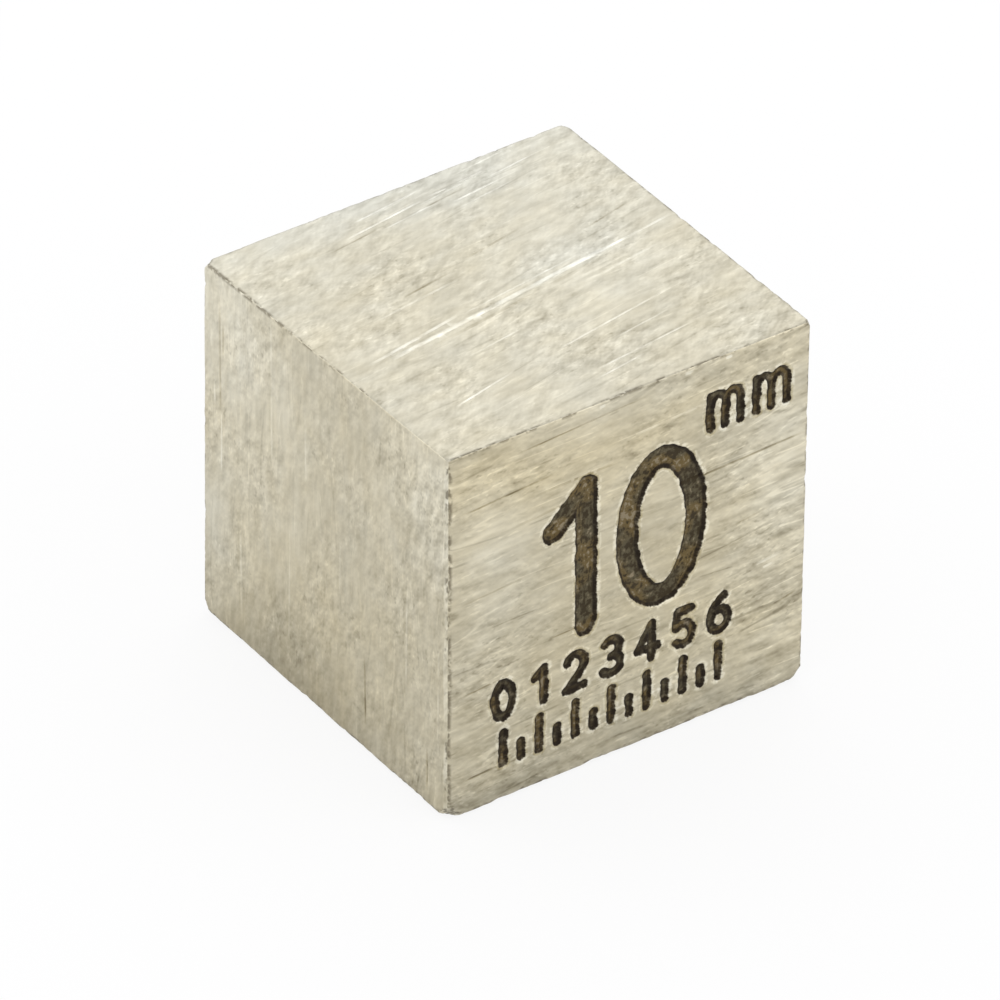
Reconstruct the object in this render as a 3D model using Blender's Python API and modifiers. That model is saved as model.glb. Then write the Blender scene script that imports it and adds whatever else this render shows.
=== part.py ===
"""A 10 mm sample cube of bismuth metal, sawn and filed to size, with its size engraved in one face.

Blender units are metres and +Z is up. The cube stands on z = 0 with its box centred over the
origin, and the engraved face looks along -Y.
"""

import math
import random

import bmesh
import bpy
from mathutils import Matrix, Vector

MM = 0.001
NODE_NAME = "bismuth_cube"

EDGE = 10.0 * MM

# Each face: outward, then its own right and up as seen from outside.
FACES = {
    "front": ((0, -1, 0), (1, 0, 0), (0, 0, 1)),
    "right": ((1, 0, 0), (0, 1, 0), (0, 0, 1)),
    "back": ((0, 1, 0), (-1, 0, 0), (0, 0, 1)),
    "left": ((-1, 0, 0), (0, -1, 0), (0, 0, 1)),
    "top": ((0, 0, 1), (1, 0, 0), (0, 1, 0)),
    "bottom": ((0, 0, -1), (1, 0, 0), (0, -1, 0)),
}

# How far each saw cut missed the true cube: out by this much at the face's middle, then leaning
# towards the face's own right and its up, in degrees.
SAW_CUTS = {
    "front": (-0.02 * MM, -0.26, 0.32),
    "right": (0.02 * MM, -0.56, -0.35),
    "back": (-0.02 * MM, 0.48, 0.62),
    "left": (0.02 * MM, 0.34, 0.15),
    "top": (0.0, 0.31, 0.79),
    "bottom": (0.0, 0.0, 0.0),
}

# Width that a file and wear have taken off each edge.
EDGE_WEAR = {
    ("front", "left"): 0.17 * MM,
    ("front", "right"): 0.08 * MM,
    ("back", "left"): 0.10 * MM,
    ("back", "right"): 0.10 * MM,
    ("front", "top"): 0.07 * MM,
    ("left", "top"): 0.06 * MM,
    ("right", "top"): 0.07 * MM,
    ("back", "top"): 0.09 * MM,
    ("front", "bottom"): 0.14 * MM,
    ("left", "bottom"): 0.16 * MM,
    ("right", "bottom"): 0.12 * MM,
    ("back", "bottom"): 0.12 * MM,
}
EDGE_STEPS = 2

# Depth of the flat that a knock left on each corner, measured down the corner's diagonal.
CORNER_KNOCKS = {
    ("front", "left", "bottom"): 0.27 * MM,
    ("back", "left", "bottom"): 0.24 * MM,
    ("front", "right", "bottom"): 0.22 * MM,
    ("back", "right", "bottom"): 0.18 * MM,
    ("front", "left", "top"): 0.09 * MM,
    ("back", "left", "top"): 0.15 * MM,
    ("front", "right", "top"): 0.11 * MM,
    ("back", "right", "top"): 0.16 * MM,
}
KNOCK_SIZE = 2.0 * MM

# Single scratches from end to end, in millimetres from the face's middle.
SCRATCHES = {
    "top": [
        ((-4.1, -0.77), (1.0, 0.15)),
        ((-3.6, -0.97), (4.7, 0.33)),
        ((-1.8, 3.75), (0.4, 4.10)),
        ((0.7, 4.15), (2.6, 4.38)),
        ((1.1, 3.66), (2.4, 3.84)),
        ((-3.6, -3.25), (-1.8, -2.83)),
        ((-0.4, -2.66), (3.1, -2.05)),
    ],
    "front": [
        ((-4.9, 3.43), (-2.2, 3.60)),
        ((2.9, 1.95), (4.8, 2.02)),
        ((-4.5, -4.02), (-3.6, -3.95)),
        ((2.8, 0.15), (4.2, 0.33)),
        ((3.6, -1.19), (4.3, -1.12)),
        ((3.8, -2.60), (4.7, -2.40)),
    ],
    "left": [
        ((-2.12, 4.7), (-2.10, 0.9)),
        ((-3.42, -1.2), (-3.38, -4.2)),
        ((3.35, 0.6), (3.32, -2.3)),
        ((4.18, -3.4), (4.20, -4.5)),
        ((-4.45, 2.1), (-4.42, 0.6)),
    ],
}
SCRATCH_WIDTH = 0.10 * MM
SCRATCH_DEPTH = 0.035 * MM
SCRATCH_LIFT = 0.005 * MM

# Further marks of the saw: how many lie on each face, and their direction in degrees from the
# face's right. The seed scatters them.
SAW_MARKS = {"right": (9, 86), "back": (8, 4), "left": (5, 90), "top": (5, 8), "bottom": (6, 12)}
SAW_MARK_LENGTH = (1.5 * MM, 4.0 * MM)
SAW_MARK_SPREAD = 0.86
SAW_MARK_WANDER = 2.0
CLEAR_MIDDLE = 0.4 * MM
SEED = 83

# Small bites along the edges.
NICKS_PER_EDGE = 4
NICK_LENGTH = (0.18 * MM, 0.42 * MM)
NICK_DEPTH = (0.05 * MM, 0.10 * MM)
NICK_SLOPE = 0.4

# The engraved size mark on the front, in millimetres from the middle of the face: text, left end,
# foot line, height, gap between letters, stroke width and depth. Strokes reach half a width more.
LETTERING = [
    ("10", -2.10, -0.94, 3.84, 0.52, 0.60, 0.080),
    ("mm", 2.22, 3.14, 1.32, 0.20, 0.22, 0.060),
]

# The engraved scale below it: a long tick at each millimetre, a short one at each half, and a
# number over each long one.
SCALE_LENGTH = 6
SCALE_START = -3.45
SCALE_FOOT = -3.95
SCALE_TOP = -3.06
SCALE_HALF_TOP = -3.52
SCALE_NUMBER_FOOT = -2.63
SCALE_NUMBER_HEIGHT = 0.95
SCALE_STROKE = 0.22
SCALE_DEPTH = 0.060

# A stroke's cutter is widest this far above the face. Each further stroke of a letter is cut a
# little finer than the one before it.
STROKE_LIFT = 0.006 * MM
STROKE_FINER = 0.04
ROUND_END_ANGLES = (78, 52, 26)
TUBE_ROUNDNESS = 2


def arc(x, y, radius_x, radius_y, start, end, steps):
    """Points along an elliptic arc, from start to end in degrees."""
    angles = [math.radians(start + (end - start) * i / steps) for i in range(steps + 1)]
    return [(x + radius_x * math.cos(a), y + radius_y * math.sin(a)) for a in angles]


# One-line characters as an engraving machine cuts them, each stroke a path in a box one unit high.
STROKES = {
    "0": [arc(0.25, 0.5, 0.25, 0.5, 90, 450, 24)],
    "1": [[(0.0, 0.76), (0.24, 1.0)], [(0.24, 1.0), (0.24, 0.0)]],
    "2": [arc(0.26, 0.72, 0.26, 0.28, 165, -35, 9) + [(0.0, 0.0)], [(0.0, 0.0), (0.52, 0.0)]],
    "3": [
        arc(0.24, 0.75, 0.24, 0.25, 145, -90, 9),
        arc(0.24, 0.26, 0.27, 0.26, 80, -150, 9),
    ],
    "4": [
        [(0.40, 1.0), (0.0, 0.3)],
        [(0.0, 0.3), (0.56, 0.3)],
        [(0.40, 1.0), (0.40, 0.0)],
    ],
    "5": [
        [(0.48, 1.0), (0.08, 1.0)],
        [(0.08, 1.0), (0.05, 0.53)],
        arc(0.25, 0.31, 0.27, 0.31, 135, -140, 9),
    ],
    "6": [
        arc(0.26, 0.3, 0.26, 0.3, 90, 450, 16),
        arc(0.54, 0.3, 0.54, 0.7, 180, 105, 7),
    ],
    "m": [
        [(0.0, 0.0), (0.0, 0.66)],
        arc(0.16, 0.47, 0.16, 0.19, 180, 0, 7) + [(0.32, 0.0)],
        arc(0.48, 0.47, 0.16, 0.19, 180, 0, 7) + [(0.64, 0.0)],
    ],
}


def clear_scene():
    for obj in list(bpy.data.objects):
        bpy.data.objects.remove(obj)


def new_collection(name):
    collection = bpy.data.collections.new(name)
    bpy.context.scene.collection.children.link(collection)
    return collection


def face_plane(face):
    """A point on the sawn face and its outward direction."""
    out, right, up = (Vector(axis) for axis in FACES[face])
    beyond, lean_right, lean_up = SAW_CUTS[face]
    middle = Vector((0, 0, EDGE / 2)) + out * (EDGE / 2 + beyond)
    return middle, (out + right * math.radians(lean_right) + up * math.radians(lean_up)).normalized()


def face_matrix(face):
    """Takes a face's own coordinates (right, up, outward) to the part's."""
    middle, normal = face_plane(face)
    right = Vector(FACES[face][1])
    right = (right - normal * right.dot(normal)).normalized()
    matrix = Matrix((right, normal.cross(right), normal)).transposed().to_4x4()
    matrix.translation = middle
    return matrix


def meeting_point(faces):
    """The corner where three sawn faces meet."""
    planes = [face_plane(face) for face in faces]
    normals = Matrix([normal for _, normal in planes])
    return normals.inverted() @ Vector([point.dot(normal) for point, normal in planes])


def outward(faces):
    """The direction half-way between the faces of an edge or a corner."""
    return sum((Vector(FACES[face][0]) for face in faces), Vector()).normalized()


def faces_at(place):
    """The faces of the true cube that a point lies on."""
    aside = place - Vector((0, 0, EDGE / 2))
    return [face for face, axes in FACES.items() if aside.dot(Vector(axes[0])) > EDGE * 0.49]


def mesh_object(name, bm, collection):
    mesh = bpy.data.meshes.new(name)
    bm.to_mesh(mesh)
    bm.free()
    obj = bpy.data.objects.new(name, mesh)
    collection.objects.link(obj)
    return obj


def blank(collection):
    """The sawn cube, with each edge weighted by its wear for the Bevel that rounds it."""
    bm = bmesh.new()
    bmesh.ops.create_cube(bm, size=EDGE)
    bmesh.ops.translate(bm, verts=bm.verts, vec=(0, 0, EDGE / 2))
    weight = bm.edges.layers.float.new("bevel_weight_edge")
    widest = max(EDGE_WEAR.values())
    wear = {frozenset(pair): width for pair, width in EDGE_WEAR.items()}
    for edge in bm.edges:
        middle = (edge.verts[0].co + edge.verts[1].co) / 2
        edge[weight] = wear[frozenset(faces_at(middle))] / widest
    for vert in bm.verts:
        vert.co = meeting_point(faces_at(vert.co))
    body = mesh_object(NODE_NAME, bm, collection)
    bevel = body.modifiers.new("worn edges", "BEVEL")
    bevel.limit_method = "WEIGHT"
    bevel.width = widest
    bevel.segments = EDGE_STEPS
    return body


def add_cutter(name, bm, matrix, cutters):
    """A hidden cutter. Its mesh takes the matrix, so the object itself stays at the origin."""
    bmesh.ops.transform(bm, matrix=matrix, verts=bm.verts)
    bmesh.ops.recalc_face_normals(bm, faces=bm.faces)
    cutter = mesh_object(name, bm, cutters)
    cutter.hide_render = True
    cutter.display_type = "WIRE"


def add_knock(faces, depth, cutters):
    """A flat cut square to the corner's diagonal."""
    out = outward(faces)
    bm = bmesh.new()
    bmesh.ops.create_cube(bm, size=KNOCK_SIZE)
    turn = out.to_track_quat("Z", "Y").to_matrix().to_4x4()
    place = Matrix.Translation(meeting_point(faces) + out * (KNOCK_SIZE / 2 - depth))
    add_cutter("knock_" + "_".join(faces), bm, place @ turn, cutters)


def add_spindle(name, start, end, out, half_width, half_depth, cutters):
    """A four-sided spindle between two points: it cuts a V that runs out at both ends."""
    along = (end - start).normalized()
    side = along.cross(out).normalized()
    axes = Matrix((side, along.cross(side), along)).transposed().to_4x4()
    axes.translation = (start + end) / 2
    size = Matrix.Diagonal((half_width, half_depth, (end - start).length / 2, 1))
    bm = bmesh.new()
    bmesh.ops.create_uvsphere(bm, u_segments=4, v_segments=2, radius=1)
    add_cutter(name, bm, axes @ size, cutters)


def add_scratch(name, face, start, end, cutters):
    """A scratch between two points given in the face's own coordinates."""
    matrix = face_matrix(face)
    ends = [matrix @ Vector((x, y, SCRATCH_LIFT)) for x, y in (start, end)]
    out = face_plane(face)[1]
    add_spindle(name, *ends, out, SCRATCH_WIDTH / 2, SCRATCH_DEPTH, cutters)


def add_saw_marks(face, count, angle, chance, cutters):
    """Marks of chance length and place, all close to the saw's direction."""
    for number in range(count):
        turn = math.radians(angle + chance.uniform(-SAW_MARK_WANDER, SAW_MARK_WANDER))
        way = Vector((math.cos(turn), math.sin(turn)))
        across = Vector((-way.y, way.x))
        length = chance.uniform(*SAW_MARK_LENGTH)
        aside = chance.uniform(CLEAR_MIDDLE, SAW_MARK_SPREAD * EDGE / 2) * chance.choice((-1, 1))
        middle = across * aside
        middle += way * chance.uniform(-SAW_MARK_SPREAD, SAW_MARK_SPREAD) * (EDGE - length) / 2
        ends = middle - way * length / 2, middle + way * length / 2
        add_scratch(f"saw_mark_{face}_{number}", face, *ends, cutters)


def add_nicks(faces, chance, cutters):
    """Small bites out of one edge, one in each stretch of it."""
    ends = [meeting_point([*faces, face]) for face in FACES if crosses(face, faces)]
    out = outward(faces)
    along = (ends[1] - ends[0]).normalized()
    for number in range(NICKS_PER_EDGE):
        place = ends[0].lerp(ends[1], (number + chance.uniform(0.25, 0.75)) / NICKS_PER_EDGE)
        depth = chance.uniform(*NICK_DEPTH)
        half = along * chance.uniform(*NICK_LENGTH) / 2
        half += out * depth * chance.uniform(-NICK_SLOPE, NICK_SLOPE)
        name = f"nick_{'_'.join(faces)}_{number}"
        add_spindle(name, place - half, place + half, out, depth, depth, cutters)


def crosses(face, faces):
    """Whether a face cuts across the edge between two others."""
    out = Vector(FACES[face][0])
    return all(out.dot(Vector(FACES[other][0])) == 0 for other in faces)


def rounded_ends(path, width):
    """Adds points beyond both ends of a path, where the line narrows to a round end."""
    points = [(Vector(place), 1.0) for place in path]
    for inner, outer, order in ((points[1], points[0], 1), (points[-2], points[-1], -1)):
        way = (outer[0] - inner[0]).normalized() * width / 2
        angles = [math.radians(angle) for angle in ROUND_END_ANGLES]
        cap = [(outer[0] + way * math.sin(angle), math.cos(angle)) for angle in angles]
        points = cap + points if order == 1 else points + cap[::-1]
    return points


def add_stroke(name, path, width, depth, cutters):
    """A flattened tube along a path on the front face: it cuts a shallow round-ended line."""
    closed = (Vector(path[0]) - Vector(path[-1])).length < width * 0.1
    if closed:
        points = [(Vector(place), 1.0) for place in path[:-1]]
    else:
        points = rounded_ends(path, width)
    curve = bpy.data.curves.new(name, "CURVE")
    curve.dimensions = "3D"
    curve.bevel_depth = width / 2 * MM
    curve.bevel_resolution = TUBE_ROUNDNESS
    curve.use_fill_caps = not closed
    spline = curve.splines.new("POLY")
    spline.points.add(len(points) - 1)
    spline.use_cyclic_u = closed
    for point, (place, radius) in zip(spline.points, points):
        point.co = (place.x * MM, place.y * MM, 0, 1)
        point.radius = radius
    guide = bpy.data.objects.new(name, curve)
    bpy.context.scene.collection.objects.link(guide)
    graph = bpy.context.evaluated_depsgraph_get()
    mesh = bpy.data.meshes.new_from_object(guide.evaluated_get(graph))
    bm = bmesh.new()
    bm.from_mesh(mesh)
    bmesh.ops.remove_doubles(bm, verts=bm.verts, dist=0.0001 * MM)
    bpy.data.meshes.remove(mesh)
    bpy.data.objects.remove(guide)
    bpy.data.curves.remove(curve)
    lift = Matrix.Translation((0, 0, STROKE_LIFT))
    flatten = Matrix.Diagonal((1, 1, depth / (width / 2), 1))
    add_cutter(name, bm, face_matrix("front") @ lift @ flatten, cutters)


def letter_width(letter):
    return max(x for stroke in STROKES[letter] for x, _ in stroke)


def add_letter(name, letter, left, foot, height, width, depth, cutters):
    for number, stroke in enumerate(STROKES[letter]):
        path = [(left + x * height, foot + y * height) for x, y in stroke]
        finer = 1 - STROKE_FINER * number
        add_stroke(f"{name}_{number}", path, width * finer, depth * finer, cutters)


def add_lettering(cutters):
    """The size of the cube and its unit."""
    for text, left, foot, height, gap, width, depth in LETTERING:
        for number, letter in enumerate(text):
            name = f"letter_{letter}_{number}"
            add_letter(name, letter, left, foot, height, width, depth, cutters)
            left += letter_width(letter) * height + width + gap


def add_scale(cutters):
    """The ticks and numbers of the engraved scale."""
    for half in range(2 * SCALE_LENGTH + 1):
        x = SCALE_START + half / 2
        top = SCALE_HALF_TOP if half % 2 else SCALE_TOP
        tick = [(x, SCALE_FOOT), (x, top)]
        add_stroke(f"tick_{half}", tick, SCALE_STROKE, SCALE_DEPTH, cutters)
    height = SCALE_NUMBER_HEIGHT
    for number in range(SCALE_LENGTH + 1):
        digit = str(number)
        left = SCALE_START + number - letter_width(digit) * height / 2
        place = (left, SCALE_NUMBER_FOOT, height)
        add_letter(f"number_{digit}", digit, *place, SCALE_STROKE, SCALE_DEPTH, cutters)


def move_over_origin(body, cutters):
    """Centres the finished cube's box over the origin, and takes the cutters along."""
    graph = bpy.context.evaluated_depsgraph_get()
    corners = [Vector(corner) for corner in body.evaluated_get(graph).bound_box]
    middle = (corners[0] + corners[6]) / 2
    for obj in [body, *cutters.objects]:
        obj.location = (-middle.x, -middle.y, 0)


def sawn_bismuth():
    """A pale warm grey metal with a soft shine."""
    material = bpy.data.materials.new("sawn bismuth")
    material.use_nodes = True
    shader = material.node_tree.nodes["Principled BSDF"]
    shader.inputs["Base Color"].default_value = (0.60, 0.55, 0.44, 1)
    shader.inputs["Metallic"].default_value = 1.0
    shader.inputs["Roughness"].default_value = 0.45
    return material


def main():
    clear_scene()
    part = new_collection("bismuth sample cube")
    cutters = new_collection("cutters")
    chance = random.Random(SEED)

    body = blank(part)
    body.data.materials.append(sawn_bismuth())

    for faces, depth in CORNER_KNOCKS.items():
        add_knock(faces, depth, cutters)
    for faces in EDGE_WEAR:
        add_nicks(faces, chance, cutters)
    for face, lines in SCRATCHES.items():
        for number, line in enumerate(lines):
            ends = [Vector(place) * MM for place in line]
            add_scratch(f"scratch_{face}_{number}", face, *ends, cutters)
    for face, (count, angle) in SAW_MARKS.items():
        add_saw_marks(face, count, angle, chance, cutters)
    add_lettering(cutters)
    add_scale(cutters)

    cut = body.modifiers.new("cuts", "BOOLEAN")
    cut.operation = "DIFFERENCE"
    cut.operand_type = "COLLECTION"
    cut.collection = cutters
    cut.solver = "EXACT"

    move_over_origin(body, cutters)


main()
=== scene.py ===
import math
import random

import bmesh
import bpy
from mathutils import Matrix, Vector, noise


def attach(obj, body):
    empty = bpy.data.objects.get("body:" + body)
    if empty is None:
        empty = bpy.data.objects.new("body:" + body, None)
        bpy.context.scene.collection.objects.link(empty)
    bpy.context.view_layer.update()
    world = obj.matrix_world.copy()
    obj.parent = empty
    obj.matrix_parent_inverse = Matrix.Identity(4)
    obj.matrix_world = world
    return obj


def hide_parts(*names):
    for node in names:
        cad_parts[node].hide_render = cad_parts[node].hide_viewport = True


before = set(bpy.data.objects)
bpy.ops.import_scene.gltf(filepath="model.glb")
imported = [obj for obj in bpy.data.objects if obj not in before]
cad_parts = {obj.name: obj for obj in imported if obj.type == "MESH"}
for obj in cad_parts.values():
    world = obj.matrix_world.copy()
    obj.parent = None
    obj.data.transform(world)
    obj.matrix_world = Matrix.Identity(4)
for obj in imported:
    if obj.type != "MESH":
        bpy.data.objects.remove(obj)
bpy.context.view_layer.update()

mm = 0.001


# the camera comes first, so that everything else can be judged through it
viewpoint = {
    "azimuth": -34.904,  # degrees round from straight in front of the engraved side
    "elevation": 35.823,
    "roll": 0.424,
    "distance": 270.68,  # mm
    "aimHeight": 5.0,  # mm above the floor, and how far the aim is then moved aside
    "aimRight": -0.096,
    "aimUp": -0.74,
    "lens": 423.09,
    "clip": (0.005, 20),  # m
}


def addObject(name, data):
    piece = bpy.data.objects.new(name, data)
    bpy.context.scene.collection.objects.link(piece)
    return piece


def addMesh(name, bm):
    mesh = bpy.data.meshes.new(name)
    bm.to_mesh(mesh)
    bm.free()
    return addObject(name, mesh)


def directionTo(azimuth, elevation):
    # from the block towards a place this many degrees round and up
    turn, rise = math.radians(azimuth), math.radians(elevation)
    return Vector((math.sin(turn) * math.cos(rise), -math.cos(turn) * math.cos(rise), math.sin(rise)))


def setCamera(look, middle):
    back = directionTo(look["azimuth"], look["elevation"])
    right = (-back).cross(Vector((0, 0, 1))).normalized()
    up = right.cross(-back)
    roll = math.radians(look["roll"])
    right, up = right * math.cos(roll) + up * math.sin(roll), up * math.cos(roll) - right * math.sin(roll)
    aim = Vector((middle.x, middle.y, look["aimHeight"] * mm))
    aim += right * look["aimRight"] * mm + up * look["aimUp"] * mm
    camera = addObject("camera", bpy.data.cameras.new("camera"))
    camera.data.lens = look["lens"]
    camera.data.clip_start, camera.data.clip_end = look["clip"]
    camera.matrix_world = Matrix((right, up, back)).transposed().to_4x4()
    camera.location = aim + back * look["distance"] * mm
    bpy.context.scene.camera = camera


# The six sides, with places on them in mm from the middle. grain: the saw's way in degrees from the
# side's right; blotch: the way of the blotches. lines and mottle: how strong each is. warmth: above
# 0.5 is yellower. tone: lightness. patches: soft areas, as across, up, half width, half height, how
# much lighter, how much warmer. rougher: the same, with how much more lines and mottle there is.
sides = {
    "front": {
        "out": (0, -1, 0), "right": (1, 0, 0), "up": (0, 0, 1),
        "grain": 2.5, "blotch": 4.0, "lines": 1.22, "mottle": 0.84, "warmth": 0.64, "tone": 0.56,
        "patches": [
            (-0.8, 3.6, 2.8, 1.0, 0.0, 0.24), (-3.8, 4.5, 1.8, 0.8, 0.0, 0.26),
            (-0.9, 4.9, 2.2, 0.6, 0.1, -0.2), (4.3, 1.3, 1.5, 2.2, 0.17, -0.18),
            # the last patch here, a wide darker strip along the foot, is painted shade
            (-3.6, -4.2, 2.6, 1.2, -0.1, -0.05), (0.0, -4.9, 9.0, 0.6, -0.2, -0.15),
            (0.6, -1.2, 2.4, 2.0, -0.04, 0.12), (-3.5, 1.2, 1.1, 1.6, 0.09, -0.16),
        ],
        "rougher": [(4.2, 1.5, 1.2, 2.6, 0.45, 0.35), (4.2, -3.0, 1.4, 2.0, 0.45, 0.4),
                    (-0.8, 4.3, 3.0, 0.7, -0.25, -0.25), (0.0, 0.8, 2.4, 2.2, -0.35, -0.35)],
    },
    "right": {
        "out": (1, 0, 0), "right": (0, 1, 0), "up": (0, 0, 1),
        "grain": 87.0, "blotch": 70.0, "lines": 0.72, "mottle": 0.76, "warmth": 0.5, "tone": 0.5,
        "patches": [(-2.5, -3.0, 2.0, 2.5, -0.06, 0.05), (2.5, 2.8, 2.2, 1.8, 0.07, -0.08),
                    # the second patch here, a darker strip along the foot, is painted shade
                    (0.0, -4.9, 9.0, 0.55, -0.1, -0.1)],
        "rougher": [(3.0, 1.0, 2.0, 3.0, 0.2, 0.3)],
    },
    "back": {
        "out": (0, 1, 0), "right": (-1, 0, 0), "up": (0, 0, 1),
        "grain": 4.0, "blotch": 14.0, "lines": 0.84, "mottle": 0.74, "warmth": 0.5, "tone": 0.5,
        "patches": [(2.0, 2.5, 2.5, 1.2, 0.06, 0.1), (-2.8, -1.5, 2.0, 2.2, -0.05, -0.06),
                    # the second patch here, a darker strip along the foot, is painted shade
                    (0.0, -4.9, 9.0, 0.55, -0.12, -0.12)],
        "rougher": [(-3.0, 2.0, 2.2, 2.2, 0.3, 0.1)],
    },
    "left": {
        "out": (-1, 0, 0), "right": (0, -1, 0), "up": (0, 0, 1),
        "grain": 90.0, "blotch": 62.0, "lines": 0.54, "mottle": 0.71, "warmth": 0.58, "tone": 0.53,
        "patches": [
            (-4.6, 4.6, 2.6, 2.2, 0.2, -0.22), (-3.0, 2.4, 2.8, 3.2, 0.13, -0.06),
            (4.4, 4.2, 1.6, 2.4, 0.19, -0.14), (-1.6, -4.4, 3.2, 1.3, -0.17, 0.05),
            (0.2, -3.2, 2.2, 2.4, -0.04, 0.14), (-4.6, -2.0, 0.8, 2.0, 0.1, -0.2),
            # this darker strip along the foot is painted shade
            (0.0, -4.9, 9.0, 0.45, -0.1, 0.0),
        ],
        "rougher": [(-3.4, 3.4, 2.4, 2.2, 0.4, 0.3), (4.3, 2.4, 1.3, 2.6, 0.6, 0.8),
                    (4.0, -4.2, 1.8, 1.2, 0.6, 0.6)],
    },
    "top": {
        "out": (0, 0, 1), "right": (1, 0, 0), "up": (0, 1, 0),
        "grain": 9.0, "blotch": 36.0, "lines": 0.54, "mottle": 0.62, "warmth": 0.35, "tone": 0.49,
        "patches": [(-1.4, 2.0, 2.4, 1.4, -0.05, 0.05), (0.6, 4.8, 5.0, 1.3, 0.07, -0.36),
                    (2.6, 1.2, 2.4, 0.9, 0.03, -0.06), (1.5, -4.2, 5.0, 1.5, -0.04, 0.02),
                    (3.6, 1.6, 2.2, 2.6, 0.0, -0.1), (1.5, 0.35, 1.8, 0.4, 0.06, -0.16)],
        "rougher": [(1.8, 4.0, 2.2, 0.9, 0.6, 0.1), (1.0, -0.3, 4.5, 1.0, 0.5, 0.2),
                    (1.8, -3.0, 3.5, 1.4, 0.35, 0.1), (-3.6, 2.0, 2.2, 2.8, -0.35, 0.1)],
    },
    "bottom": {
        "out": (0, 0, -1), "right": (1, 0, 0), "up": (0, -1, 0),
        "grain": 12.0, "blotch": 35.0, "lines": 0.8, "mottle": 0.75, "warmth": 0.5, "tone": 0.48,
        "patches": [(1.0, -1.0, 3.0, 2.0, -0.05, 0.05), (-2.6, 2.4, 2.0, 2.0, 0.05, -0.05)],
        "rougher": [(1.5, 2.0, 2.5, 2.0, 0.25, 0.15)],
    },
}
sideNames = list(sides)


nominalEdge = 10.0  # mm
alike = {"side": 0.999, "flat": 0.99999}  # how closely the faces of one side, or one flat, agree


def facing(polygons, way, least):
    return [face for face in polygons if face.normal.dot(way) > least]


def sidePlane(node, out):
    # the flat that takes up most of one side of the solid
    flats = facing(node.data.polygons, Vector(out), alike["side"])
    normal = sum((face.normal * face.area for face in flats), Vector()).normalized()
    flats = facing(flats, normal, alike["flat"])
    area = sum(face.area for face in flats)
    return normal, sum(face.center.dot(normal) * face.area for face in flats) / area


def whereThreeMeet(three):
    rows = Matrix([normal for normal, offset in three])
    return rows.inverted() @ Vector([offset for normal, offset in three])


planes = {name: sidePlane(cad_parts["bismuth_cube"], side["out"]) for name, side in sides.items()}
corners = {}
for across in ("left", "right"):
    for deep in ("front", "back"):
        for high in ("bottom", "top"):
            corners[across, deep, high] = whereThreeMeet([planes[across], planes[deep], planes[high]])
blockMiddle = sum(corners.values(), Vector()) / len(corners)
blockMiddle.z = nominalEdge / 2 * mm

setCamera(viewpoint, blockMiddle)
print("camera set, sides read")


# the engraved mark, in mm from the middle of the front
mark = {
    # letters, left, foot, height, gap between letters, width and depth of their lines
    "text": [("10", -2.1, -0.94, 3.84, 0.52, 0.6, 0.07), ("mm", 2.22, 3.14, 1.32, 0.2, 0.24, 0.06)],
    "scaleStart": -3.45, "scaleLength": 6, "scaleFoot": -3.95, "scaleTop": -3.06, "halfTop": -3.52,
    "numberFoot": -2.63, "numberHeight": 0.95, "stroke": 0.24, "depth": 0.06,
    "felt": 0.35,  # how far beside a line it is looked for
    "far": 0.5,  # stands for the distance to a line where none is near
    "wall": (0.01, -0.05),  # where the wall starts and ends, measured from the outline
    "slide": 0.022,  # how far points of the mesh slide to meet it
    "slope": (0.005, 0.3),  # the step that feels for its slope, and the least that counts as one
    "ragged": 0.036,  # how far the burnt outline wanders, and how far off this is still felt
    "raggedFelt": 0.3,
    "rough": 0.014,  # unevenness of the floor
    "burr": (0.007, 0.035, 0.022),  # the rim thrown up beside a line: height, place and half width
    # noise in these: features per mm, strength, and where in the noise it is read
    "raggedNoise": ((3.5, 1.0, 3), (8, 0.45, 7)),
    "roughNoise": ((7, 1.0, 11), (16, 0.7, 5)),
    "burrNoise": ((6, 0.5, 17),),
}


def arcPath(x, y, radiusX, radiusY, start, end, steps):
    # points along part of an oval, from one angle in degrees to the other
    turns = [math.radians(start + (end - start) * step / steps) for step in range(steps + 1)]
    return [(x + radiusX * math.cos(turn), y + radiusY * math.sin(turn)) for turn in turns]


# each letter's lines, for a height of 1 and from its left foot
letters = {
    "0": [arcPath(0.25, 0.5, 0.25, 0.5, 90, 450, 28)],
    "1": [[(0.0, 0.76), (0.24, 1.0), (0.24, 0.0)]],
    "2": [arcPath(0.26, 0.72, 0.26, 0.28, 165, -35, 10) + [(0.0, 0.0), (0.52, 0.0)]],
    "3": [arcPath(0.24, 0.75, 0.24, 0.25, 145, -90, 10), arcPath(0.24, 0.26, 0.27, 0.26, 80, -150, 10)],
    "4": [[(0.4, 0.0), (0.4, 1.0), (0.0, 0.3), (0.56, 0.3)]],
    "5": [[(0.48, 1.0), (0.08, 1.0), (0.05, 0.53)] + arcPath(0.25, 0.31, 0.27, 0.31, 135, -140, 10)],
    "6": [arcPath(0.26, 0.3, 0.26, 0.3, 90, 450, 18), arcPath(0.54, 0.3, 0.54, 0.7, 180, 105, 8)],
    "m": [
        [(0.0, 0.0), (0.0, 0.66)],
        arcPath(0.16, 0.47, 0.16, 0.19, 180, 0, 8) + [(0.32, 0.0)],
        arcPath(0.48, 0.47, 0.16, 0.19, 180, 0, 8) + [(0.64, 0.0)],
    ],
}


def letterWidth(letter):
    return max(x for path in letters[letter] for x, y in path)


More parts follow.
